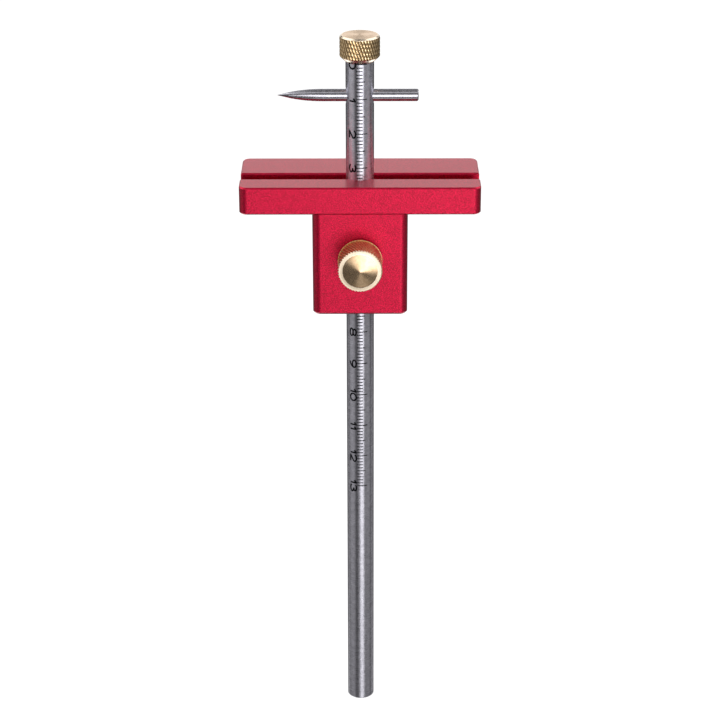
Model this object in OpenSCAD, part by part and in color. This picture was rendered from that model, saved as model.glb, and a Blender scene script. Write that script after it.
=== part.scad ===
// Woodworking scriber: a round steel beam, a needle held in its top end by a knurled
// screw, and a T-shaped fence that slides on the beam and is clamped by a thumbscrew.
// Origin: centre of the beam's lower end. +Z runs up the beam, the thumbscrew faces -Y
// and the needle's point faces -X.

/* [Beam] */
// Beam diameter
beam_d = 8; // [7:0.5:9]
// Beam length
beam_l = 205; // [160:1:240]
// Depth of the needle's axis below the beam's top end
needle_drop = 10; // [9:0.5:13]

/* [Needle] */
// Needle diameter
needle_d = 3.5; // [2.5:0.1:3.6]
// Needle length
needle_l = 39.5; // [34:0.5:48]
// Distance from the beam's axis to the needle's point
needle_reach = 23.1; // [20:0.1:28]
// Length of the ground nose, from the point to the full diameter
nose_l = 12.4; // [8:0.2:14]
// Length of the polished cone at the point
point_l = 3.4; // [2:0.1:5]

/* [Fence] */
// Plate length, along X
plate_l = 68; // [50:1:90]
// Plate width, front to back
plate_w = 27; // [24:1:34]
// Plate thickness
plate_t = 8; // [7:0.5:10]
// Height of the whole fence
fence_h = 38.4; // [34:0.2:46]
// Clamp block width, along X
block_w = 27; // [20:1:32]
// Distance from the beam's axis to the plate's front face
front_y = 10.5; // [9.5:0.5:12]
// Distance from the beam's top end to the fence's upper face, at rest
fence_drop = 33.8; // [28:0.1:100]
// Radius of the upright corners
corner_r = 2.2; // [1:0.1:3]
// Chamfer along the outer edges
edge_c = 0.4; // [0.2:0.1:0.8]
// Width of the needle groove
groove_w = 5; // [4.5:0.1:6]
// Depth of the needle groove
groove_d = 4; // [4:0.1:5]

/* [Clamp screw] */
// Depth of the clamp screw's axis below the fence's upper face
clamp_drop = 21.2; // [18:0.1:26]
// Head diameter of the clamp screw
clamp_head_d = 12.6; // [10:0.1:16]
// Length of the clamp screw's knurl
clamp_knurl_l = 8.6; // [6:0.1:12]
// Gap between the clamp screw's head and the block, when it is tight
clamp_gap = 0.8; // [0.5:0.1:3]

/* [Lock screw] */
// Head diameter of the lock screw
lock_head_d = 11.3; // [10:0.1:14]
// Length of the lock screw's knurl
lock_knurl_l = 5.6; // [4:0.1:8]
// Gap between the lock screw's head and the beam, when it is tight
lock_gap = 0.4; // [0.2:0.1:1]

/* [Hidden] */
$fn = 96;

// Radial clearance of sliding fits and of the screws in their holes
slide_fit = 0.05;
screw_fit = 0.04;
// Gap left between faces that press on each other
touch = 0.02;
// Overshoot of a cut past the face that it opens
over = 1;

// Nominal sizes of the threads: the lock screw's is M4 and the clamp screw's is M5
lock_thread_d = 4;
clamp_thread_d = 5;
clamp_tap_d = 4.2;

// Heights on the beam
needle_z = beam_l - needle_drop;
fence_top = beam_l - fence_drop;
fence_foot = fence_top - fence_h;
clamp_z = fence_top - clamp_drop;

// Beam
end_c = 0.25;
hole_c = 0.35;
cross_hole_c = 0.6;
needle_hole_d = needle_d + 2 * slide_fit;
lock_hole_d = lock_thread_d + 2 * screw_fit;

// Needle: the cone at the point meets a nose that is one arc, tangent to the shank
point_flat_r = 0.04;
point_r = needle_d / 4;
tail_c = 0.3;
nose_arc_l = nose_l - point_l;
nose_rise = needle_d / 2 - point_r;
nose_arc_r = (pow(nose_arc_l, 2) + pow(nose_rise, 2)) / (2 * nose_rise);
nose_angle = asin(nose_arc_l / nose_arc_r);
nose_steps = 12;

// Fence: the block stands back from the plate by the plate's own chamfer
block_h = fence_h - plate_t;
block_y = front_y - edge_c;
block_d = plate_w - 2 * edge_c;
block_c = 0.6;
bore_d = beam_d + 2 * slide_fit;
bore_c = 0.4;
clamp_hole_d = clamp_thread_d + 2 * screw_fit;

// Clamp pad: a short plug whose hollow end fits the beam
pad_d = clamp_tap_d - 2 * slide_fit;
pad_l = 1.5;
pad_hollow_r = beam_d / 2 + touch;
pad_back = pad_hollow_r + pad_l;
screw_tip = pad_back + touch;

// Turned heads: both faces are bevelled, flat in a narrow ring and crowned inside it
clamp_bevel_w = 0.6;
clamp_bevel_h = 0.42;
clamp_ring_w = 0.8;
clamp_rise = 0.4;
clamp_back_c = 0.5;
lock_bevel_w = 0.35;
lock_bevel_h = 0.35;
lock_ring_w = 0.2;
lock_rise = 0.35;
lock_back_c = 1;
crown_steps = 8;

// Shanks: the thread's root is this share of its diameter, and the tip is chamfered
neck_ratio = 0.8;
thread_c = 0.5;

// The screws' lengths below their heads
lock_shank_l = needle_drop + lock_gap - needle_d / 2 - touch;
clamp_shank_l = block_y + clamp_gap - screw_tip;

// Upright bar with its top and bottom edges chamfered, standing on z = 0
module chamfered_post(r, h, c) {
    rotate_extrude()
        polygon([[0, 0], [r - c, 0], [r, c], [r, h - c], [r - c, h], [0, h]]);
}

// Outline of a box seen along one axis, with its four corners cut at 45 degrees
module chamfered_outline(w, h, c) {
    polygon([
        [-w / 2 + c, 0], [w / 2 - c, 0], [w / 2, c], [w / 2, h - c],
        [w / 2 - c, h], [-w / 2 + c, h], [-w / 2, h - c], [-w / 2, c]
    ]);
}

// Box on z = 0 with round upright corners and every horizontal edge chamfered
module machined_block(l, w, h, r, c) {
    rotate([90, 0, 90])
        translate([0, 0, r - l / 2])
            linear_extrude(l - 2 * r) chamfered_outline(w, h, c);
    rotate([90, 0, 0])
        translate([0, 0, r - w / 2])
            linear_extrude(w - 2 * r) chamfered_outline(l, h, c);
    for (x = [r - l / 2, l / 2 - r], y = [r - w / 2, w / 2 - r])
        translate([x, y, 0]) chamfered_post(r, h, c);
}

// Straight groove along X, open upwards at z = 0, with chamfered lips
module groove_cut(l, w, d, c) {
    rotate([90, 0, 90])
        translate([0, 0, -l / 2])
            linear_extrude(l)
                polygon([
                    [-w / 2, -d], [w / 2, -d], [w / 2, -c], [w / 2 + c, 0], [w / 2 + c, over],
                    [-w / 2 - c, over], [-w / 2 - c, 0], [-w / 2, -c]
                ]);
}

// Chamfer c deep round the mouth of a hole whose face is at z = 0
module countersink(d, c) {
    translate([0, 0, -c]) cylinder(d1 = d, d2 = d + 2 * (c + over), h = c + over);
}

// Round hole down from z = 0 to z = -l, with a chamfered mouth at the top
module countersunk_hole(d, l, c) {
    translate([0, 0, -l]) cylinder(d = d, h = l + over);
    countersink(d, c);
}

// Turned thumbscrew along +Z: the head stands on z = 0 with its crowned face up,
// and the shank hangs below it with a relieved neck and a chamfered tip
module turned_screw(head_d, knurl_l, back_c, bevel_w, bevel_h, ring_w, rise, shank_d, shank_l) {
    r = head_d / 2;
    thread_r = shank_d / 2;
    neck_r = thread_r * neck_ratio;
    neck_l = 2 * (thread_r - neck_r);
    top = back_c + knurl_l;
    face = top + bevel_h;
    ring_r = r - bevel_w;
    crown_r = ring_r - ring_w;
    crown = [
        for (i = [0:crown_steps])
            let (t = 1 - i / crown_steps) [crown_r * t, face + rise * (1 - t * t)]
    ];
    outline = concat(
        [[0, -shank_l], [thread_r - thread_c, -shank_l], [thread_r, thread_c - shank_l]],
        [[thread_r, -neck_l], [neck_r, -neck_l / 2], [neck_r, 0]],
        [[r - back_c, 0], [r, back_c], [r, top], [ring_r, face]],
        crown
    );
    rotate_extrude() polygon(outline);
}

module beam_rod() {
    color([0.62, 0.63, 0.65])
        difference() {
            chamfered_post(beam_d / 2, beam_l, end_c);
            translate([0, 0, needle_z])
                rotate([0, 90, 0]) cylinder(d = needle_hole_d, h = beam_d + 2 * over, center = true);
            for (side = [-90, 90])
                translate([0, 0, needle_z])
                    rotate([0, side, 0])
                        translate([0, 0, beam_d / 2]) countersink(needle_hole_d, cross_hole_c);
            translate([0, 0, beam_l])
                countersunk_hole(lock_hole_d, needle_drop, hole_c);
        }
}

module scribing_needle() {
    nose = [
        for (i = [0:nose_steps])
            let (a = nose_angle * (1 - i / nose_steps))
                [needle_d / 2 - nose_arc_r * (1 - cos(a)), nose_l - nose_arc_r * sin(a)]
    ];
    outline = concat(
        [[0, 0], [point_flat_r, 0]],
        nose,
        [[needle_d / 2, needle_l - tail_c], [needle_d / 2 - tail_c, needle_l], [0, needle_l]]
    );
    color([0.55, 0.56, 0.58])
        translate([-needle_reach, 0, needle_z])
            rotate([0, 90, 0]) rotate_extrude() polygon(outline);
}

module needle_lock_screw() {
    color([0.85, 0.68, 0.40])
        translate([0, 0, beam_l + lock_gap])
            turned_screw(
                lock_head_d, lock_knurl_l, lock_back_c, lock_bevel_w, lock_bevel_h,
                lock_ring_w, lock_rise, lock_thread_d, lock_shank_l
            );
}

module fence_body() {
    middle_y = plate_w / 2 - front_y;
    color([0.80, 0.12, 0.25])
        difference() {
            union() {
                translate([0, middle_y, fence_top - plate_t])
                    machined_block(plate_l, plate_w, plate_t, corner_r, edge_c);
                translate([0, middle_y, fence_foot])
                    machined_block(block_w, block_d, block_h + plate_t / 2, corner_r, block_c);
            }
            translate([0, 0, fence_top])
                groove_cut(plate_l + 2 * over, groove_w, groove_d, edge_c);
            translate([0, 0, fence_foot - over]) cylinder(d = bore_d, h = fence_h + 2 * over);
            translate([0, 0, fence_foot])
                mirror([0, 0, 1]) countersink(bore_d, bore_c);
            translate([0, 0, clamp_z])
                rotate([90, 0, 0]) cylinder(d = clamp_tap_d, h = block_y);
            translate([0, -block_y, clamp_z])
                rotate([90, 0, 0])
                    countersunk_hole(clamp_hole_d, block_y - screw_tip + thread_c, hole_c);
        }
}

module clamp_thumbscrew() {
    color([0.85, 0.68, 0.40])
        translate([0, -block_y - clamp_gap, clamp_z])
            rotate([90, 0, 0])
                turned_screw(
                    clamp_head_d, clamp_knurl_l, clamp_back_c, clamp_bevel_w, clamp_bevel_h,
                    clamp_ring_w, clamp_rise, clamp_thread_d, clamp_shank_l
                );
}

module clamp_pad() {
    color([0.92, 0.90, 0.84])
        difference() {
            translate([0, 0, clamp_z])
                rotate([90, 0, 0]) cylinder(d = pad_d, h = pad_back);
            translate([0, 0, clamp_z])
                cylinder(r = pad_hollow_r, h = 2 * pad_d, center = true);
        }
}

beam_rod();
scribing_needle();
needle_lock_screw();
fence_body();
clamp_thumbscrew();
clamp_pad();
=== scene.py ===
import logging
import math
from dataclasses import dataclass
from enum import Enum
from functools import partial
from typing import Callable, NamedTuple, Sequence

import bmesh
import bpy
from mathutils import Matrix, Vector


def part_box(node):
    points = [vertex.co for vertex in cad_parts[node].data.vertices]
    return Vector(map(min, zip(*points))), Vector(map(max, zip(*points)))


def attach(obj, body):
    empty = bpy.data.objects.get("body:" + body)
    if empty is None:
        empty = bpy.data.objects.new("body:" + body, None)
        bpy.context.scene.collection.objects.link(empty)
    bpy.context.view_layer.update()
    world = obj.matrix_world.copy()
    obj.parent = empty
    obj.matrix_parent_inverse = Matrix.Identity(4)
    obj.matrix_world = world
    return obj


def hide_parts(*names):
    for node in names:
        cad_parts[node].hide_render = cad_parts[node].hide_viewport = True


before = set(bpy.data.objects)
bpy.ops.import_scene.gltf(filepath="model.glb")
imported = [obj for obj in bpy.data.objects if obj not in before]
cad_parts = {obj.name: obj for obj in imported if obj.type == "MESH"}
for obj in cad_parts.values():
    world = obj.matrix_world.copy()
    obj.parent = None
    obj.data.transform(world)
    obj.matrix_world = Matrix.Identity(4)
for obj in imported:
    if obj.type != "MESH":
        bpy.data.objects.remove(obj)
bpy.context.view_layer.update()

Colour = tuple[float, float, float]
Point = tuple[float, float, float]
Flat = tuple[float, float]
Span = tuple[float, float]
Socket = bpy.types.NodeSocket
Node = bpy.types.Node
Piece = bpy.types.Object
Ring = list[bmesh.types.BMVert]

LOG = logging.getLogger("scriber")
MM = 0.001
WHOLE_SPAN: Span = (0.0, 1.0)
# Nearly all values of a noise lie in the first of these spans. The second one gives more contrast
NOISE_SPAN: Span = (0.3, 0.7)
CLOUD_SPAN: Span = (0.35, 0.65)
# A quarter turn, which spreads a reflection across marks that run round a piece
ACROSS_MARKS = 0.25


class Body(Enum):
    """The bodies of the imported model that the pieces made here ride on."""

    BEAM = "beam"
    LOCK_SCREW = "lock_screw"
    THUMBSCREW = "thumbscrew"


class BarAxis(Enum):
    """The axis that a round piece was ground or turned about."""

    X = "X"
    Y = "Y"
    Z = "Z"


class ScrewZone(Enum):
    """The zones of a turned screw, in the order of its material slots."""

    SHANK = 0
    KNURL = 1
    FACE = 2
    RIM = 3


# Shader nodes


def grey(level: float) -> tuple[float, float, float, float]:
    """The opaque grey of a level."""
    return (level, level, level, 1.0)


class NodeBench:
    """Adds and joins the shader nodes of one material or of the world."""

    def __init__(self, tree: bpy.types.NodeTree) -> None:
        """Clears a node tree and keeps it."""
        self.tree = tree
        tree.nodes.clear()

    def node(self, kind: str, settings: dict[str, object] | None = None, **sockets: object) -> Node:
        """Adds a node.

        Args:
            kind: The node's type name.
            settings: The node's own properties by name.
            **sockets: Values or sockets for its inputs, with _ for a space in a name.

        Returns:
            The new node.
        """
        made = self.tree.nodes.new(kind)
        for key, value in (settings or {}).items():
            setattr(made, key, value)
        for key, value in sockets.items():
            self.put(made.inputs[key.replace("_", " ")], value)
        return made

    def put(self, socket: Socket, value: object) -> None:
        """Sets an input to a value, or links it.

        Args:
            socket: The input.
            value: A number, a colour, or the output of another node.
        """
        if isinstance(value, Socket):
            self.tree.links.new(value, socket)
        else:
            socket.default_value = value

    def sums(self, operation: str, first: object, second: object = 0.0) -> Socket:
        """Adds a Math node.

        Args:
            operation: The node's operation.
            first: Its first value or socket.
            second: Its second value or socket.

        Returns:
            Its output.
        """
        made = self.node("ShaderNodeMath", {"operation": operation})
        self.put(made.inputs[0], first)
        self.put(made.inputs[1], second)
        return made.outputs[0]

    def dot(self, first: Socket, second: Vector) -> Socket:
        """Adds a dot product.

        Args:
            first: A direction's socket.
            second: A fixed direction.

        Returns:
            The product's output.
        """
        made = self.node("ShaderNodeVectorMath", {"operation": "DOT_PRODUCT"})
        self.put(made.inputs[0], first)
        self.put(made.inputs[1], second)
        return made.outputs["Value"]

    def remap(self, value: Socket, old: Span, new: Span = WHOLE_SPAN) -> Socket:
        """Carries a value from one span to another with smooth ends.

        Args:
            value: The value's socket.
            old: The span that it has.
            new: The span that it gets.

        Returns:
            The output of the Map Range node.
        """
        made = self.node("ShaderNodeMapRange", {"interpolation_type": "SMOOTHSTEP"}, Value=value)
        made.inputs["From Min"].default_value, made.inputs["From Max"].default_value = old
        made.inputs["To Min"].default_value, made.inputs["To Max"].default_value = new
        return made.outputs[0]

    def mix_colours(self, share: Socket, first: Colour, second: Colour) -> Socket:
        """Mixes two colours.

        Args:
            share: The socket with the second colour's share.
            first: The colour at 0.
            second: The colour at 1.

        Returns:
            The mixed colour's output.
        """
        made = self.node("ShaderNodeMix", {"data_type": "RGBA"})
        # The node has a pair of inputs and an output for each kind of value. These are the colours'
        at_zero, at_one, mixed = 6, 7, 2
        self.put(made.inputs[0], share)
        self.put(made.inputs[at_zero], (*first, 1.0))
        self.put(made.inputs[at_one], (*second, 1.0))
        return made.outputs[mixed]

    def place(self) -> Socket:
        """The place on the piece, in its own coordinates and in metres."""
        return self.node("ShaderNodeTexCoord").outputs["Object"]

    def along(self, axis: BarAxis) -> Socket:
        """The place along one of the piece's own axes, in metres."""
        return self.node("ShaderNodeSeparateXYZ", Vector=self.place()).outputs[axis.value]

    def radius(self) -> Socket:
        """The distance from the piece's own Z axis.

        Returns:
            The distance's output, in metres.
        """
        parts = self.node("ShaderNodeSeparateXYZ", Vector=self.place())
        squares = [self.sums("POWER", parts.outputs[axis], 2.0) for axis in ("X", "Y")]
        return self.sums("SQRT", self.sums("ADD", *squares))

    def grain(self, per_metre: Point, detail: float) -> Socket:
        """Noise in the piece's own coordinates, with its own fineness along each axis.

        The noise's own lattice stands askew to the piece's faces, so that all of them show it equally.

        Args:
            per_metre: Grains per metre along X, Y and Z.
            detail: The noise's octaves.

        Returns:
            The noise's value, about 0.5.
        """
        askew: Point = (0.5, 0.4, 0.3)
        scaled = self.node("ShaderNodeVectorMath", {"operation": "MULTIPLY"})
        self.put(scaled.inputs[0], self.place())
        self.put(scaled.inputs[1], per_metre)
        turned = self.node("ShaderNodeVectorRotate", {"rotation_type": "EULER_XYZ"}, Rotation=askew)
        self.put(turned.inputs["Vector"], scaled.outputs[0])
        noise = self.node("ShaderNodeTexNoise", Vector=turned.outputs[0], Scale=1.0, Detail=detail)
        return noise.outputs[0]

    def even_grain(self, per_metre: float, detail: float = 3.0) -> Socket:
        """Noise that is equally fine along all three axes."""
        return self.grain((per_metre, per_metre, per_metre), detail)

    def bump(self, height: Socket, depth: float, strength: float) -> Socket:
        """The normal that a height of 0 to 1 gives, for a depth in metres and the share of it used."""
        return self.node("ShaderNodeBump", Height=height, Distance=depth, Strength=strength).outputs[0]

    def marks_round(self, axis: BarAxis) -> Socket:
        """The direction in which a tool's marks run round an axis of the piece."""
        return self.node("ShaderNodeTangent", {"direction_type": "RADIAL", "axis": axis.value}).outputs[0]

    def mirror_rays(self, path: Node) -> Socket:
        """1 for the rays that metal and glass send out, from a Light Path node."""
        return self.sums("MAXIMUM", path.outputs["Is Glossy Ray"], path.outputs["Is Transmission Ray"])

    def by_ray(self, share: Socket, plain: Node, mirrored: Node, seen: Node) -> Node:
        """Chooses what a ray meets.

        Args:
            share: 1 for the rays that meet the mirrored shader.
            plain: The shader that lights the object.
            mirrored: The shader that metal and glass show.
            seen: The shader that the camera sees.

        Returns:
            The shader that chooses.
        """
        path = self.node("ShaderNodeLightPath")
        unseen = self.node("ShaderNodeMixShader")
        for socket, value in zip(unseen.inputs, (share, plain.outputs[0], mirrored.outputs[0])):
            self.put(socket, value)
        chosen = self.node("ShaderNodeMixShader")
        choices = (path.outputs["Is Camera Ray"], unseen.outputs[0], seen.outputs[0])
        for socket, value in zip(chosen.inputs, choices):
            self.put(socket, value)
        return chosen

    def surface(self, shader: Node) -> None:
        """Joins a shader to the material's output."""
        self.node("ShaderNodeOutputMaterial", Surface=shader.outputs[0])


def new_material(name: str) -> tuple[bpy.types.Material, NodeBench]:
    """Makes an empty node material.

    Args:
        name: Its name.

    Returns:
        The material and the bench for its nodes.
    """
    made = bpy.data.materials.new(name)
    made.use_nodes = True
    return made, NodeBench(made.node_tree)


# Finishes


class Finish:
    """A named finish, which a Principled shader shows."""

    name: str

    def inputs(self, bench: NodeBench) -> dict[str, object]:
        """What the shader's inputs get, by name with _ for a space."""
        raise NotImplementedError

    def material(self) -> bpy.types.Material:
        """Builds the finish.

        Returns:
            Its material.
        """
        made, bench = new_material(self.name)
        bench.surface(bench.node("ShaderNodeBsdfPrincipled", **self.inputs(bench)))
        return made


@dataclass(frozen=True)
class GroundSteel(Finish):
    """Bright steel bar, ground while it turns, so that its scratches run round it.

    The grains are per metre, along the bar and round it. The polish is the span along the bar, in metres,
    over which a smoother end fades into the ground part.
    """

    name: str
    axis: BarAxis
    dark: Colour = (0.50, 0.49, 0.545)
    light: Colour = (0.60, 0.588, 0.65)
    roughness: Span = (0.26, 0.35)
    anisotropy: float = 0.85
    polish: Span | None = None
    polish_share: float = 0.55
    grains_along: float = 9000.0
    grains_round: float = 260.0
    clouds: float = 900.0
    scratch_depth: float = 0.000003
    scratch_strength: float = 0.13

    def inputs(self, bench: NodeBench) -> dict[str, object]:
        """Draws the scratches as bump and roughness, and clouds as colour.

        Args:
            bench: Where the nodes go.

        Returns:
            What the shader's inputs get.
        """
        per_metre = tuple(self.grains_along if axis is self.axis else self.grains_round for axis in BarAxis)
        scratches = bench.grain(per_metre, detail=3.0)
        clouds = bench.even_grain(self.clouds)
        rough = bench.remap(scratches, NOISE_SPAN, self.roughness)
        if self.polish is not None:
            share = bench.remap(bench.along(self.axis), self.polish, (self.polish_share, 1.0))
            rough = bench.sums("MULTIPLY", rough, share)
        return dict(
            Base_Color=bench.mix_colours(bench.remap(clouds, CLOUD_SPAN), self.dark, self.light),
            Metallic=1.0,
            Roughness=rough,
            Normal=bench.bump(scratches, self.scratch_depth, self.scratch_strength),
            Anisotropic=self.anisotropy,
            Anisotropic_Rotation=ACROSS_MARKS,
            Tangent=bench.marks_round(self.axis),
        )


@dataclass(frozen=True)
class BlastedAnodise(Finish):
    """Aluminium that was bead blasted, dyed red and sealed, so that fine dimples show under a clear skin.

    The dimples and the speckle of the dye are per metre, and their depth is in metres.
    """

    name: str = "fence_red_anodise"
    deep: Colour = (0.31, 0.0011, 0.019)
    bright: Colour = (0.82, 0.0034, 0.062)
    roughness: Span = (0.39, 0.49)
    dimples: float = 3200.0
    dimple_strength: float = 0.45
    speckle: float = 6200.0
    speckle_span: Span = (0.41, 0.59)
    speckle_strength: float = 0.5
    depth: float = 0.00003
    skin_roughness: float = 0.34
    skin_index: float = 1.28

    def inputs(self, bench: NodeBench) -> dict[str, object]:
        """Draws the dimples as bump and roughness, and the speckle as colour and as bump of the skin.

        Args:
            bench: Where the nodes go.

        Returns:
            What the shader's inputs get.
        """
        dimples = bench.even_grain(self.dimples, detail=2.0)
        speckle = bench.even_grain(self.speckle, detail=1.0)
        return dict(
            Base_Color=bench.mix_colours(bench.remap(speckle, self.speckle_span), self.deep, self.bright),
            Metallic=1.0,
            Roughness=bench.remap(dimples, NOISE_SPAN, self.roughness),
            Normal=bench.bump(dimples, self.depth, self.dimple_strength),
            Coat_Weight=1.0,
            Coat_Normal=bench.bump(speckle, self.depth, self.speckle_strength),
            Coat_Roughness=self.skin_roughness,
            Coat_IOR=self.skin_index,
        )


@dataclass(frozen=True)
class TurnedBrass(Finish):
    """Brass faced in a lathe, so that its tool marks are rings about the screw's axis.

    The rings' pitch and depth are in metres, and the clouds are per metre.
    """

    name: str
    dark: Colour
    light: Colour
    roughness: Span = (0.19, 0.25)
    anisotropy: float = 0.66
    ring_pitch: float = 0.00018
    ring_depth: float = 0.000005
    ring_strength: float = 0.2
    clouds: float = 700.0

    def inputs(self, bench: NodeBench) -> dict[str, object]:
        """Draws the tool marks as bump and roughness, and clouds as colour.

        Args:
            bench: Where the nodes go.

        Returns:
            What the shader's inputs get.
        """
        across = bench.sums("DIVIDE", bench.radius(), self.ring_pitch)
        noise = bench.node("ShaderNodeTexNoise", {"noise_dimensions": "1D"}, W=across, Scale=1.0, Detail=2.0)
        rings = noise.outputs[0]
        clouds = bench.even_grain(self.clouds)
        return dict(
            Base_Color=bench.mix_colours(bench.remap(clouds, CLOUD_SPAN), self.dark, self.light),
            Metallic=1.0,
            Roughness=bench.remap(rings, NOISE_SPAN, self.roughness),
            Normal=bench.bump(rings, self.ring_depth, self.ring_strength),
            Anisotropic=self.anisotropy,
            Anisotropic_Rotation=ACROSS_MARKS,
            Tangent=bench.marks_round(BarAxis.Z),
        )


@dataclass(frozen=True)
class RolledBrass(Finish):
    """Brass that a knurling wheel or a thread die has pressed, brighter on its ridges than in its grooves.

    The darker grooves are painted shade. The radii of the grooves and ridges and the depth of the stains are
    in metres, and the stains per metre.
    """

    name: str
    groove_radius: float
    ridge_radius: float
    groove: Colour = (0.34, 0.21, 0.09)
    ridge: Colour = (0.88, 0.66, 0.40)
    roughness: Span = (0.23, 0.36)
    stains: float = 1500.0
    stain_depth: float = 0.00001
    stain_strength: float = 0.3

    def inputs(self, bench: NodeBench) -> dict[str, object]:
        """Darkens the grooves with painted shade, and draws stains as bump and roughness.

        Args:
            bench: Where the nodes go.

        Returns:
            What the shader's inputs get.
        """
        # Painted shade: the colour darkens from the ridges down into the grooves
        height = bench.remap(bench.radius(), (self.groove_radius, self.ridge_radius))
        stains = bench.even_grain(self.stains)
        return dict(
            Base_Color=bench.mix_colours(height, self.groove, self.ridge),
            Metallic=1.0,
            Roughness=bench.remap(stains, NOISE_SPAN, self.roughness),
            Normal=bench.bump(stains, self.stain_depth, self.stain_strength),
        )


@dataclass(frozen=True)
class MarkingInk(Finish):
    """The dark fill of the engraved scale, with worn flecks.

    The flecks are per metre, and their depth is in metres.
    """

    name: str
    dark: Colour = (0.012, 0.012, 0.015)
    worn: Colour = (0.035, 0.034, 0.038)
    worn_span: Span = (0.45, 0.75)
    roughness: Span = (0.42, 0.6)
    flecks: float = 6000.0
    fleck_depth: float = 0.000006
    fleck_strength: float = 0.3

    def inputs(self, bench: NodeBench) -> dict[str, object]:
        """Draws the flecks as colour, bump and roughness.

        Args:
            bench: Where the nodes go.

        Returns:
            What the shader's inputs get.
        """
        flecks = bench.even_grain(self.flecks, detail=2.0)
        return dict(
            Base_Color=bench.mix_colours(bench.remap(flecks, self.worn_span), self.dark, self.worn),
            Metallic=1.0,
            Roughness=bench.remap(flecks, NOISE_SPAN, self.roughness),
            Normal=bench.bump(flecks, self.fleck_depth, self.fleck_strength),
        )


@dataclass(frozen=True)
class Acetal(Finish):
    """Off-white acetal rod, cut off and faced.

    Its tool marks are per metre along X, Y and Z. Their depth and the haze's are in metres.
    """

    name: str = "pad_acetal"
    shade: Colour = (0.72, 0.70, 0.63)
    tint: Colour = (0.80, 0.78, 0.71)
    roughness: Span = (0.38, 0.52)
    marks: Point = (800.0, 9000.0, 800.0)
    mark_depth: float = 0.000008
    mark_strength: float = 0.3
    haze: float = 0.1
    haze_depth: float = 0.001

    def inputs(self, bench: NodeBench) -> dict[str, object]:
        """Draws faint tool marks as colour, bump and roughness.

        Args:
            bench: Where the nodes go.

        Returns:
            What the shader's inputs get.
        """
        marks = bench.grain(self.marks, detail=2.0)
        return dict(
            Base_Color=bench.mix_colours(marks, self.shade, self.tint),
            Roughness=bench.remap(marks, NOISE_SPAN, self.roughness),
            Normal=bench.bump(marks, self.mark_depth, self.mark_strength),
            Subsurface_Weight=self.haze,
            Subsurface_Scale=self.haze_depth,
        )


# Pieces


def add_piece(name: str, mesh: bmesh.types.BMesh, body: Body, place: Matrix) -> Piece:
    """Puts a mesh into the scene as a piece that rides on a body.

    Args:
        name: The piece's name.
        mesh: Its mesh, which is freed.
        body: The body that it rides on.
        place: Where the mesh's own frame stands, in metres.

    Returns:
        The piece.
    """
    data = bpy.data.meshes.new(name)
    mesh.to_mesh(data)
    mesh.free()
    piece = bpy.data.objects.new(name, data)
    bpy.context.scene.collection.objects.link(piece)
    piece.matrix_world = place
    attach(piece, body.value)
    return piece


def dress_node(node: str, finish: Finish) -> Piece:
    """Gives a CAD node its finish.

    Args:
        node: The node's name.
        finish: The finish of all its faces.

    Returns:
        The node's object.
    """
    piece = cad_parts[node]
    material = finish.material()
    for slot in piece.material_slots:
        slot.material = material
    return piece


class Row(NamedTuple):
    """A ring of a screw's outline.

    Its height and the radius of the turned blank are in mm. The zone is that of the faces just below it.
    For an angle and a height, pressed gives the radius that a tool has pressed the blank down to.
    """

    height: float
    blank: float
    zone: ScrewZone
    pressed: Callable[[float, float], float] | None = None


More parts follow.
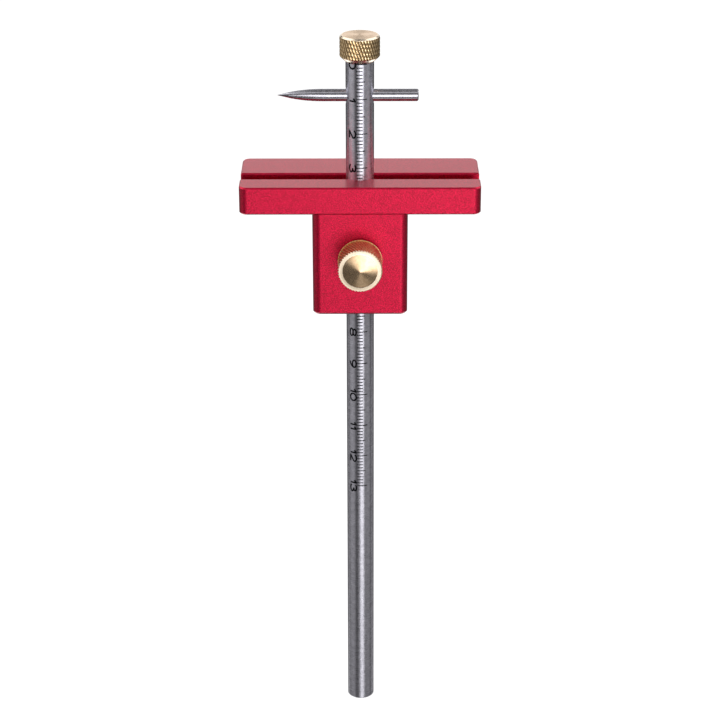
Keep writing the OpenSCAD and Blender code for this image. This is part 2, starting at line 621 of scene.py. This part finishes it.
@dataclass
class KnurledScrew:
    """A brass screw with a knurled, crowned head and a rolled thread, turned about its own Z axis.

    Sizes are in millimetres, angles in degrees. The head stands on z = 0 and the shank hangs below it.
    One set of the knurl's grooves is cross_share as deep as the other, and knurl_power narrows both. A
    crown_power of 1 makes the crown a cone and 2 a dome. The thread is depth_share of its pitch deep, and
    its painted shade is darkest from tarnish_share of the pitch below the crest; flank_slope widens its
    flats. The knurl's grooves are darkened with painted shade too, and the rim's paler brass is a painted
    highlight. The collar lies play deeper than the knurl's ridges, and the thread runs out play above the
    neck.
    """

    name: str
    node: str
    body: Body
    face: TurnedBrass
    groove: Colour
    ridge: Colour
    knurl_roughness: Span
    rim_roughness: Span
    head_diameter: float
    teeth: int
    knurl_length: float
    knurl_depth: float
    cross_share: float
    bevel_width: float
    bevel_height: float
    ring_width: float
    rise: float
    crown_power: float
    collar: float
    thread_diameter: float
    thread_pitch: float
    shank_length: float
    # The rim's paler brass is a painted highlight on its back chamfer, collar, bevel and ring
    rim_ridge: Colour = (0.90, 0.75, 0.57)
    back_chamfer: float = 1.0
    knurl_angle: float = 21.0
    knurl_power: float = 1.3
    depth_share: float = 0.61
    # From this share of the pitch below the crest, the thread's painted shade is darkest
    tarnish_share: float = 0.6
    flank_slope: float = 1.3
    tip_chamfer: float = 0.5
    neck_share: float = 0.8
    play: float = 0.02
    root_play: float = 0.05
    points_a_tooth: int = 8
    rows_a_turn: int = 10
    knurl_step: float = 0.13
    chamfer_rows: int = 5
    bevel_rows: int = 6
    crown_rows: int = 14
    sharp_angle: float = 24.0

    @property
    def columns(self) -> int:
        """Points round the screw."""
        return self.teeth * self.points_a_tooth

    @property
    def thread_depth(self) -> float:
        """Depth of the thread in mm."""
        return self.depth_share * self.thread_pitch

    def knurl_radius(self, angle: float, height: float) -> float:
        """Radius of the diamond knurl where no chamfer cuts it.

        Args:
            angle: The angle round the screw, in radians.
            height: The height on the head, in mm.

        Returns:
            The radius in mm, full on a diamond's top and lowest in a groove.
        """
        turns = self.teeth * angle / (2 * math.pi)
        pitch = math.pi * self.head_diameter / self.teeth
        climb = height * math.tan(math.radians(self.knurl_angle)) / pitch
        cuts = []
        for way, share in ((-1, self.cross_share), (1, 1.0)):
            wave = 0.5 + 0.5 * math.cos(2 * math.pi * (turns + way * climb))
            cuts.append(share * wave ** self.knurl_power)
        return self.head_diameter / 2 - self.knurl_depth * max(cuts)

    def thread_radius(self, angle: float, height: float) -> float:
        """Radius of the thread where no chamfer cuts it.

        Args:
            angle: The angle round the screw, in radians.
            height: The height on the shank, in mm.

        Returns:
            The radius in mm.
        """
        phase = (height / self.thread_pitch - angle / (2 * math.pi)) % 1.0
        flank = self.flank_slope * abs(2 * phase - 1) - (self.flank_slope - 1) / 2
        return self.thread_diameter / 2 - self.thread_depth * (1 - min(1.0, max(0.0, flank)))

    def shank_rows(self) -> list[Row]:
        """The outline of the shank.

        Returns:
            Its rows, from the middle of the tip up to the head.
        """
        thread = self.thread_diameter / 2
        core = thread - self.thread_depth - self.root_play
        neck = self.neck_share * thread
        neck_length = 2 * (thread - neck)
        run = self.shank_length - neck_length
        rows = [Row(-self.shank_length, radius, ScrewZone.SHANK) for radius in (0.0, core)]
        steps = int(run / self.thread_pitch * self.rows_a_turn)
        for i in range(steps + 1):
            up = run * i / steps
            blank = min(thread, thread - self.tip_chamfer + up, neck + (run - up) + self.play)
            rows.append(Row(up - self.shank_length, max(core, blank), ScrewZone.SHANK, self.thread_radius))
        rows.append(Row(-neck_length / 2, neck, ScrewZone.SHANK))
        rows.append(Row(0.0, neck, ScrewZone.SHANK))
        return rows

    def head_rows(self) -> list[Row]:
        """The outline of the head.

        Returns:
            Its rows, from the back chamfer to the middle of the crown.
        """
        head = self.head_diameter / 2
        back = self.back_chamfer
        rows = [Row(0.0, head - back, ScrewZone.RIM)]
        for i in range(1, self.chamfer_rows):
            cut = back * i / self.chamfer_rows
            rows.append(Row(cut, head - back + cut, ScrewZone.RIM, self.knurl_radius))
        start = back + self.collar
        if self.collar:
            rows += [Row(height, head - self.play, ScrewZone.RIM) for height in (back, start)]
        top = back + self.knurl_length
        steps = int((top - start) / self.knurl_step)
        for i in range(steps + 1):
            rows.append(Row(start + (top - start) * i / steps, head, ScrewZone.KNURL, self.knurl_radius))
        for i in range(1, self.bevel_rows + 1):
            cut = i / self.bevel_rows
            edge = head - self.bevel_width * cut
            rows.append(Row(top + self.bevel_height * cut, edge, ScrewZone.RIM, self.knurl_radius))
        base = top + self.bevel_height
        crown = head - self.bevel_width - self.ring_width
        rows.append(Row(base, crown, ScrewZone.RIM))
        for i in range(1, self.crown_rows):
            share = 1 - i / self.crown_rows
            height = base + self.rise * (1 - share ** self.crown_power)
            rows.append(Row(height, crown * share, ScrewZone.FACE))
        rows.append(Row(base + self.rise, 0.0, ScrewZone.FACE))
        return rows

    def ring(self, mesh: bmesh.types.BMesh, row: Row) -> Ring:
        """Adds the points of a row.

        Args:
            mesh: Where the points go.
            row: The row.

        Returns:
            Its points, only one where the blank's radius is 0.
        """
        if row.blank == 0.0:
            return [mesh.verts.new((0.0, 0.0, row.height * MM))]
        ring = []
        for i in range(self.columns):
            angle = 2 * math.pi * i / self.columns
            radius = min(row.blank, row.pressed(angle, row.height)) if row.pressed else row.blank
            place = (radius * math.cos(angle) * MM, radius * math.sin(angle) * MM, row.height * MM)
            ring.append(mesh.verts.new(place))
        return ring

    def band(self, mesh: bmesh.types.BMesh, low: Ring, high: Ring, zone: ScrewZone) -> None:
        """Adds the faces between two rings, one of which may be a single point.

        Args:
            mesh: Where the faces go.
            low: The lower ring.
            high: The upper ring.
            zone: The faces' zone.
        """
        for i in range(self.columns):
            j = (i + 1) % self.columns
            if len(low) == 1:
                corners = [low[0], high[j], high[i]]
            elif len(high) == 1:
                corners = [low[i], low[j], high[0]]
            else:
                corners = [low[i], low[j], high[j], high[i]]
            made = mesh.faces.new(corners)
            made.material_index = zone.value
            made.smooth = zone is not ScrewZone.KNURL

    def place(self) -> Matrix:
        """Where the screw's own frame stands, in metres, worked out from its CAD node."""
        raise NotImplementedError

    def finishes(self) -> list[Finish]:
        """The screw's finishes.

        Returns:
            One for each zone, in the zones' order.
        """
        head = self.head_diameter / 2 * MM
        thread = self.thread_diameter / 2 * MM
        # The thread's colour darkens towards its roots as painted shade
        root = thread - self.tarnish_share * self.thread_pitch * MM
        bottom = head - self.knurl_depth * MM
        shank = RolledBrass(self.name + "_thread_brass", root, thread)
        knurl = RolledBrass(
            self.name + "_knurl_brass", bottom, head, self.groove, self.ridge, self.knurl_roughness
        )
        # The rim's paler colour is a painted highlight
        rim = RolledBrass(
            self.name + "_rim_highlight_brass", 0.0, head / 2, ridge=self.rim_ridge, roughness=self.rim_roughness
        )
        return [shank, knurl, self.face, rim]

    def build(self) -> list[Piece]:
        """Builds the screw in place of its CAD node and dresses it.

        Returns:
            The screw alone.
        """
        mesh = bmesh.new()
        rows = self.shank_rows() + self.head_rows()
        rings = [self.ring(mesh, row) for row in rows]
        for low, high, row in zip(rings, rings[1:], rows[1:]):
            self.band(mesh, low, high, row.zone)
        mesh.normal_update()
        piece = add_piece(self.name, mesh, self.body, self.place())
        piece.data.set_sharp_from_angle(angle=math.radians(self.sharp_angle))
        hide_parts(self.node)
        for finish in self.finishes():
            piece.data.materials.append(finish.material())
        return [piece]


# Sub-assemblies


@dataclass
class LockScrew(KnurledScrew):
    """The screw that holds the needle, upright on top of the beam."""

    name: str = "lock_screw_knurled"
    node: str = "needle_lock_screw"
    body: Body = Body.LOCK_SCREW
    face: TurnedBrass = TurnedBrass("lock_face_brass", (0.71, 0.51, 0.33), (0.82, 0.61, 0.42), (0.30, 0.36))
    groove: Colour = (0.28, 0.15, 0.05)
    ridge: Colour = (0.93, 0.71, 0.42)
    knurl_roughness: Span = (0.23, 0.36)
    rim_roughness: Span = (0.19, 0.32)
    head_diameter: float = 11.3
    teeth: int = 40
    knurl_length: float = 5.35
    knurl_depth: float = 0.18
    cross_share: float = 0.5
    bevel_width: float = 0.55
    bevel_height: float = 0.50
    ring_width: float = 0.2
    rise: float = 0.10
    crown_power: float = 2.0
    collar: float = 0.0
    thread_diameter: float = 4.0
    thread_pitch: float = 0.7
    shank_length: float = 8.63

    def place(self) -> Matrix:
        """Upright, with the shank's tip at the CAD node's lower end."""
        return Matrix.Translation((0.0, 0.0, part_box(self.node)[0].z + self.shank_length * MM))


@dataclass
class ClampScrew(KnurledScrew):
    """The thumbscrew that clamps the fence, with its head towards the front."""

    name: str = "thumbscrew_knurled"
    node: str = "clamp_thumbscrew"
    body: Body = Body.THUMBSCREW
    # Painted shade: the face is a darker copy of the brass. Painted highlight: the knurl is a paler copy
    face: TurnedBrass = TurnedBrass("clamp_face_shade_brass", (0.51, 0.35, 0.205), (0.60, 0.42, 0.26))
    groove: Colour = (0.74, 0.46, 0.15)
    ridge: Colour = (0.98, 0.80, 0.46)
    knurl_roughness: Span = (0.28, 0.41)
    rim_roughness: Span = (0.35, 0.48)
    head_diameter: float = 12.6
    teeth: int = 48
    knurl_length: float = 8.1
    knurl_depth: float = 0.42
    cross_share: float = 0.30
    bevel_width: float = 0.34
    bevel_height: float = 0.28
    ring_width: float = 1.03
    rise: float = 0.80
    crown_power: float = 1.12
    collar: float = 0.2
    thread_diameter: float = 5.0
    thread_pitch: float = 0.8
    shank_length: float = 5.36

    def place(self) -> Matrix:
        """Its head to the front, with the shank's tip at the CAD node's rear end."""
        low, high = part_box(self.node)
        seat = Matrix.Translation((0.0, high.y - self.shank_length * MM, (low.z + high.z) / 2))
        return seat @ Matrix.Rotation(math.radians(90), 4, "X")


def oval(centre: Flat, radii: Flat, start: float, end: float, step: float = 15.0) -> list[Flat]:
    """Points along an upright oval.

    Args:
        centre: Its centre.
        radii: Its half width and half height.
        start: The angle of the first point in degrees, from the right and counterclockwise.
        end: The angle of the last point.
        step: The most degrees from one point to the next.

    Returns:
        The points.
    """
    steps = math.ceil(abs(end - start) / step)
    angles = [math.radians(start + (end - start) * i / steps) for i in range(steps + 1)]
    return [(centre[0] + radii[0] * math.cos(a), centre[1] + radii[1] * math.sin(a)) for a in angles]


@dataclass
class BeamScale:
    """The centimetre scale engraved along the beam.

    Sizes are in millimetres, angles in degrees from the beam's front, positive to the right. The engraving
    lies just outside the beam's surface.
    """

    beam_radius: float
    zero_height: float
    proud: float = 0.009
    last_mark: int = 130
    line_start: float = -13.5
    millimetre_end: float = 11.0
    five_end: float = 20.9
    centimetre_end: float = 31.0
    line_width: float = 0.30
    slice_angle: float = 2.5
    numeral_low: float = -46.5
    numeral_high: float = -17.5
    numeral_shift: float = 0.2
    digit_width: float = 2.25
    one_width: float = 0.78
    digit_gap: float = 0.72
    stroke_width: float = 0.50
    stroke_step: float = 0.16
    touching: float = 0.001
    line_ink: MarkingInk = MarkingInk("scale_line_marking", worn=(0.12, 0.118, 0.125))
    numeral_ink: MarkingInk = MarkingInk("scale_numeral_marking")

    @property
    def radius(self) -> float:
        """Distance of the engraving from the beam's axis."""
        return self.beam_radius + self.proud

    def on_beam(self, angle: float, height: float) -> Vector:
        """The point in metres at an angle and a height on the beam."""
        turn = math.radians(angle)
        return Vector((self.radius * math.sin(turn) * MM, -self.radius * math.cos(turn) * MM, height * MM))

    def line_end(self, mark: int) -> float:
        """The angle at which a mark ends.

        Args:
            mark: The mark's number, in mm from zero.

        Returns:
            The angle, furthest on a centimetre.
        """
        if mark % 10 == 0:
            return self.centimetre_end
        return self.five_end if mark % 5 == 0 else self.millimetre_end

    def lines(self) -> Piece:
        """Builds the graduation lines.

        Returns:
            The piece with all the lines, on the beam.
        """
        mesh = bmesh.new()
        for mark in range(self.last_mark + 1):
            height = self.zero_height - mark
            reach = self.line_end(mark) - self.line_start
            steps = int(reach / self.slice_angle)
            pairs = []
            for i in range(steps + 1):
                angle = self.line_start + reach * i / steps
                edges = (height - self.line_width / 2, height + self.line_width / 2)
                pairs.append([mesh.verts.new(self.on_beam(angle, edge)) for edge in edges])
            for (low, up), (next_low, next_up) in zip(pairs, pairs[1:]):
                mesh.faces.new((low, next_low, next_up, up)).smooth = True
        piece = add_piece("scale_lines", mesh, Body.BEAM, Matrix.Identity(4))
        piece.data.materials.append(self.line_ink.material())
        return piece

    def strokes(self, digit: str) -> list[list[Flat]]:
        """The pen strokes of a digit, in a box one wide and one high.

        Args:
            digit: The digit.

        Returns:
            Its strokes, each a row of points; the last point of a ring is its first.
        """
        loop = partial(oval, start=0.0, end=360.0)
        nine = [loop((0.5, 0.70), (0.5, 0.30)), oval((0.15, 0.70), (0.85, 0.70), 0.0, -88.0)]
        drawn: dict[str, list[list[Flat]]] = {
            "0": [loop((0.5, 0.5), (0.5, 0.5))],
            "1": [[(0.0, 0.66), (0.36, 1.0), (0.36, 0.0)]],
            "2": [[*oval((0.5, 0.70), (0.46, 0.30), 172.0, -28.0), (0.04, 0.0), (1.0, 0.0)]],
            "3": [
                oval((0.46, 0.76), (0.42, 0.24), 165.0, -90.0),
                oval((0.48, 0.27), (0.50, 0.27), 90.0, -165.0),
            ],
            "4": [[(0.72, 0.0), (0.72, 1.0), (0.0, 0.32), (1.0, 0.32)]],
            "5": [[(0.92, 1.0), (0.16, 1.0), *oval((0.48, 0.33), (0.50, 0.33), 140.0, -155.0)]],
            "6": [[(1.0 - x, 1.0 - y) for x, y in stroke] for stroke in nine],
            "7": [[(0.0, 1.0), (1.0, 1.0), (0.36, 0.0)]],
            "8": [loop((0.5, 0.76), (0.42, 0.24)), loop((0.5, 0.26), (0.5, 0.26))],
            "9": nine,
        }
        return drawn[digit]

    def write(self, mesh: bmesh.types.BMesh, stroke: Sequence[Flat], height: float) -> None:
        """Cuts one stroke into the beam as a ribbon that follows its surface.

        Args:
            mesh: Where the ribbon's faces go.
            stroke: The stroke's points in mm, along the beam and round it.
            height: The height on the beam that the stroke's zero stands for, in mm.
        """
        fine: list[Vector] = []
        for first, second in zip(stroke, stroke[1:]):
            start, end = Vector(first), Vector(second)
            steps = max(1, math.ceil((end - start).length / self.stroke_step))
            fine.extend(start.lerp(end, i / steps) for i in range(steps))
        closed = math.dist(stroke[0], stroke[-1]) < self.touching
        if not closed:
            fine.append(Vector(stroke[-1]))
        pairs = []
        for i, point in enumerate(fine):
            before = fine[i - 1] if closed or i else point
            after = fine[(i + 1) % len(fine)] if closed or i + 1 < len(fine) else point
            ahead = (after - before).normalized()
            side = Vector((-ahead.y, ahead.x)) * self.stroke_width / 2
            pair = []
            for along, round_beam in (point + side, point - side):
                angle = math.degrees(round_beam / self.radius)
                pair.append(mesh.verts.new(self.on_beam(angle, height - along)))
            pairs.append(pair)
        following = [*pairs[1:], *pairs[:1]] if closed else pairs[1:]
        for (left, right), (next_left, next_right) in zip(pairs, following):
            mesh.faces.new((left, right, next_right, next_left)).smooth = True

    def numerals(self) -> Piece:
        """Builds the numerals 0 to 13, written down the beam.

        Returns:
            The piece with all the numerals, on the beam.
        """
        mesh = bmesh.new()
        low = math.radians(self.numeral_low) * self.radius
        tall = math.radians(self.numeral_high - self.numeral_low) * self.radius
        for number in range(self.last_mark // 10 + 1):
            digits = str(number)
            widths = [self.one_width if digit == "1" else self.digit_width for digit in digits]
            along = self.numeral_shift - (sum(widths) + self.digit_gap * (len(digits) - 1)) / 2
            for digit, width in zip(digits, widths):
                for stroke in self.strokes(digit):
                    placed = [(along + x * self.digit_width, low + y * tall) for x, y in stroke]
                    self.write(mesh, placed, self.zero_height - 10 * number)
                along += width + self.digit_gap
        mesh.normal_update()
        for face in mesh.faces:
            middle = face.calc_center_median()
            if face.normal.dot(Vector((middle.x, middle.y, 0))) < 0:
                face.normal_flip()
        piece = add_piece("scale_numerals", mesh, Body.BEAM, Matrix.Identity(4))
        piece.data.materials.append(self.numeral_ink.material())
        return piece


@dataclass
class Beam:
    """The round beam with its scale. Sizes are in millimetres."""

    node: str = "beam_rod"
    diameter: float = 8.0
    zero_drop: float = 0.2

    def build(self) -> list[Piece]:
        """Dresses the beam and engraves its scale, which starts just below the beam's top end.

        Returns:
            The beam, the scale's lines and its numerals.
        """
        beam = dress_node(self.node, GroundSteel("beam_ground_steel", BarAxis.Z))
        scale = BeamScale(self.diameter / 2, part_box(self.node)[1].z / MM - self.zero_drop)
        return [beam, scale.lines(), scale.numerals()]


@dataclass
class Needle:
    """The needle, whose point is a polished cone. Sizes are in millimetres."""

    node: str = "scribing_needle"
    cone_length: float = 3.4
    polish_fade: float = 0.8

    def build(self) -> list[Piece]:
        """Dresses the needle, with the polish fading out where the cone ends.

        Returns:
            The needle alone.
        """
        cone_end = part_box(self.node)[0].x + self.cone_length * MM
        steel = GroundSteel(
            "needle_ground_steel", BarAxis.X, dark=(0.44, 0.432, 0.48), light=(0.53, 0.52, 0.57),
            roughness=(0.21, 0.30), anisotropy=0.7, polish=(cone_end - self.polish_fade * MM, cone_end),
        )
        return [dress_node(self.node, steel)]


@dataclass
class Fence:
    """The anodised fence, and the pad in its clamp bore."""

    node: str = "fence_body"
    pad_node: str = "clamp_pad"

    def build(self) -> list[Piece]:
        """Dresses the fence and the pad."""
        return [dress_node(self.node, BlastedAnodise()), dress_node(self.pad_node, Acetal())]


# Studio


def towards(azimuth: float, elevation: float) -> Vector:
    """The direction at an azimuth from the front, positive to the right, and an elevation, in degrees."""
    side, up = math.radians(azimuth), math.radians(elevation)
    return Vector((math.sin(side) * math.cos(up), -math.cos(side) * math.cos(up), math.sin(up)))


@dataclass(frozen=True)
class SoftLamp:
    """A soft box that faces the object. Angles are in degrees, lengths in metres."""

    name: str
    azimuth: float
    elevation: float
    distance: float
    width: float
    height: float
    radiance: float
    aim: Point = (0.0, 0.0, 0.15)

    def build(self) -> None:
        """Puts the lamp up."""
        data = bpy.data.lights.new(self.name, "AREA")
        data.shape = "RECTANGLE"
        data.size, data.size_y = self.width, self.height
        data.energy = self.radiance * math.pi * self.width * self.height
        lamp = bpy.data.objects.new(self.name, data)
        bpy.context.scene.collection.objects.link(lamp)
        way = towards(self.azimuth, self.elevation)
        lamp.location = Vector(self.aim) + way * self.distance
        lamp.rotation_euler = (-way).to_track_quat("-Z", "Y").to_euler()
        lamp.visible_camera = False
        lamp.visible_glossy = False


@dataclass(frozen=True)
class ReflectorCard:
    """A pale card far round the set, which the polished metal shows. Its angles are in degrees."""

    name: str
    azimuth: float
    elevation: float
    half_width: float
    half_height: float
    softness: float
    radiance: float

    def share(self, bench: NodeBench, way: Socket) -> Socket:
        """How bright the card is in a direction.

        Args:
            bench: Where its nodes go.
            way: The direction's socket.

        Returns:
            Its radiance there, soft at its edges.
        """
        ahead = towards(self.azimuth, self.elevation)
        side = math.radians(self.azimuth)
        right = Vector((math.cos(side), math.sin(side), 0.0))
        top = right.cross(ahead)
        depth = bench.dot(way, ahead)
        lit = bench.sums("MULTIPLY", bench.sums("GREATER_THAN", depth, 0.0), self.radiance)
        for axis, half in ((right, self.half_width), (top, self.half_height)):
            offset = bench.sums("ABSOLUTE", bench.sums("DIVIDE", bench.dot(way, axis), depth))
            inner, outer = (math.tan(math.radians(half + soft)) for soft in (-self.softness, self.softness))
            lit = bench.sums("MULTIPLY", lit, bench.remap(offset, (inner, outer), (1.0, 0.0)))
        return lit


@dataclass
class Studio:
    """The pale floor, the white backdrop, the reflector cards and the lamps. Lengths are in metres.

    The room that the metal shows brightens from room_low to room_high where a direction's height is in
    room_span.
    """

    floor_size: float = 8.0
    floor_drop: float = 0.00002
    paper: float = 0.78
    shadow_paper: float = 0.20
    floor_glow: float = 0.93
    ambient: float = 0.45
    room_low: float = 0.09
    room_high: float = 0.15
    room_span: Span = (-0.1, 0.8)
    # Each card's name, azimuth, elevation, half width, half height, softness and radiance
    cards: tuple[ReflectorCard, ...] = (
        ReflectorCard("front", 13, -3.5, 15, 15.5, 8, 4.20),
        ReflectorCard("front_low", 8, -49, 11, 13, 5, 0.64),
        ReflectorCard("front_left", -11, 7.5, 8, 14.5, 5, 2.00),
        ReflectorCard("overhead", 0, 60, 24, 10, 5, 0.58),
        ReflectorCard("left", -72, -2, 27, 24, 10, 0.50),
        ReflectorCard("right", 58, -2, 28, 24, 12, 0.37),
        ReflectorCard("left_high", -98, 45, 34, 24, 6, 1.60),
        ReflectorCard("right_high", 98, 45, 34, 24, 6, 1.60),
        ReflectorCard("rear_left", -122, -16, 8, 20, 5, 0.20),
        ReflectorCard("rear_right", 118, -16, 8, 20, 5, 0.24),
        ReflectorCard("rear", 180, 12, 24, 17, 8, 1.02),
        ReflectorCard("rear_right_low", 150, -50, 13, 13, 5, 2.00),
        ReflectorCard("rear_left_low", -150, -50, 13, 13, 5, 2.00),
    )
    # Each lamp's name, azimuth, elevation, distance, width, height and radiance
    lamps: tuple[SoftLamp, ...] = (
        SoftLamp("key_lamp", 18, 6, 1.0, 0.66, 0.52, 5.0),
        SoftLamp("left_lamp", -75, 40, 1.1, 0.90, 0.60, 2.2),
        SoftLamp("right_lamp", 75, 40, 1.1, 0.80, 0.55, 2.0),
    )

    def floor(self) -> None:
        """Lays the floor: plain paper lights the object, and the camera sees it glow and keep the shadow."""
        half = self.floor_size / 2
        corners = [(-half, -half, 0), (half, -half, 0), (half, half, 0), (-half, half, 0)]
        data = bpy.data.meshes.new("floor")
        data.from_pydata(corners, [], [(0, 1, 2, 3)])
        floor = bpy.data.objects.new("floor", data)
        bpy.context.scene.collection.objects.link(floor)
        floor.location.z = -self.floor_drop
        material, bench = new_material("floor_paper")
        paper = bench.node("ShaderNodeBsdfDiffuse", Color=grey(self.paper))
        thin = bench.node("ShaderNodeBsdfDiffuse", Color=grey(self.shadow_paper))
        glow = bench.node("ShaderNodeEmission", Color=grey(1.0), Strength=self.floor_glow)
        seen = bench.node("ShaderNodeAddShader")
        bench.put(seen.inputs[0], thin.outputs[0])
        bench.put(seen.inputs[1], glow.outputs[0])
        clear = bench.node("ShaderNodeBsdfTransparent")
        path = bench.node("ShaderNodeLightPath")
        share = bench.sums("MAXIMUM", bench.mirror_rays(path), path.outputs["Is Shadow Ray"])
        bench.surface(bench.by_ray(share, paper, clear, seen))
        data.materials.append(material)

    def world(self) -> None:
        """Hangs the backdrop: white to the camera, and the cards in a dim room to the metal."""
        world = bpy.data.worlds.new("studio")
        world.use_nodes = True
        bpy.context.scene.world = world
        bench = NodeBench(world.node_tree)
        way = bench.node("ShaderNodeTexCoord").outputs["Generated"]
        height = bench.node("ShaderNodeSeparateXYZ", Vector=way).outputs["Z"]
        total = bench.remap(height, self.room_span, (self.room_low, self.room_high))
        for card in self.cards:
            total = bench.sums("ADD", total, card.share(bench, way))
        white = bench.node("ShaderNodeBackground", Color=grey(1.0), Strength=1.0)
        mirrored = bench.node("ShaderNodeBackground", Color=grey(1.0), Strength=total)
        ambient = bench.node("ShaderNodeBackground", Color=grey(1.0), Strength=self.ambient)
        path = bench.node("ShaderNodeLightPath")
        other = bench.sums("SUBTRACT", 1.0, path.outputs["Is Diffuse Ray"])
        share = bench.sums("MAXIMUM", bench.mirror_rays(path), other)
        shown = bench.by_ray(share, ambient, mirrored, white)
        bench.node("ShaderNodeOutputWorld", Surface=shown.outputs[0])

    def build(self) -> None:
        """Sets up the whole studio."""
        self.floor()
        self.world()
        for lamp in self.lamps:
            lamp.build()
        LOG.info("studio: %s", ", ".join(light.name for light in (*self.cards, *self.lamps)))


@dataclass(frozen=True)
class StudioCamera:
    """The camera, a long lens a little above the object.

    Its place is in millimetres, its angles in degrees and its range of sight in metres. The focal length is
    in pixels of the picture.
    """

    place: Point = (0.682, -572.733, 363.422)
    down: float = 23.512
    pan: float = -0.077
    roll: float = -0.105
    focal_length: float = 2120.614
    picture_width: float = 720.0
    sensor: float = 36.0
    sight: Span = (0.01, 50.0)

    def build(self) -> None:
        """Makes the camera and gives it to the scene."""
        pan, down, roll = (math.radians(a) for a in (self.pan, self.down, self.roll))
        ahead = Vector((math.sin(pan) * math.cos(down), math.cos(pan) * math.cos(down), -math.sin(down)))
        right = Vector((math.cos(pan), -math.sin(pan), 0.0))
        up = right.cross(ahead)
        level = math.cos(roll) * right + math.sin(roll) * up
        upright = -math.sin(roll) * right + math.cos(roll) * up
        data = bpy.data.cameras.new("studio_camera")
        data.sensor_width = self.sensor
        data.lens = self.sensor * (self.focal_length / self.picture_width)
        data.clip_start, data.clip_end = self.sight
        camera = bpy.data.objects.new("studio_camera", data)
        bpy.context.scene.collection.objects.link(camera)
        turn = Matrix((level, upright, -ahead)).transposed().to_4x4()
        camera.matrix_world = Matrix.Translation(Vector(self.place) * MM) @ turn
        bpy.context.scene.camera = camera


# Main


def clear_startup_objects() -> None:
    """Removes what Blender's own start-up file may hold."""
    for name in ("Cube", "Light", "Camera"):
        if name in bpy.data.objects:
            bpy.data.objects.remove(bpy.data.objects[name])


def main() -> None:
    """Builds and dresses the whole scriber and its studio."""
    clear_startup_objects()
    bpy.context.scene.view_settings.view_transform = "Standard"
    StudioCamera().build()
    Studio().build()
    for part in (Beam(), Needle(), Fence(), LockScrew(), ClampScrew()):
        for piece in part.build():
            finishes = ", ".join(slot.material.name for slot in piece.material_slots)
            LOG.info("%s: %d faces in %s", piece.name, len(piece.data.polygons), finishes)


if __name__ == "__main__":
    logging.basicConfig(level=logging.INFO, format="%(message)s")
    main()
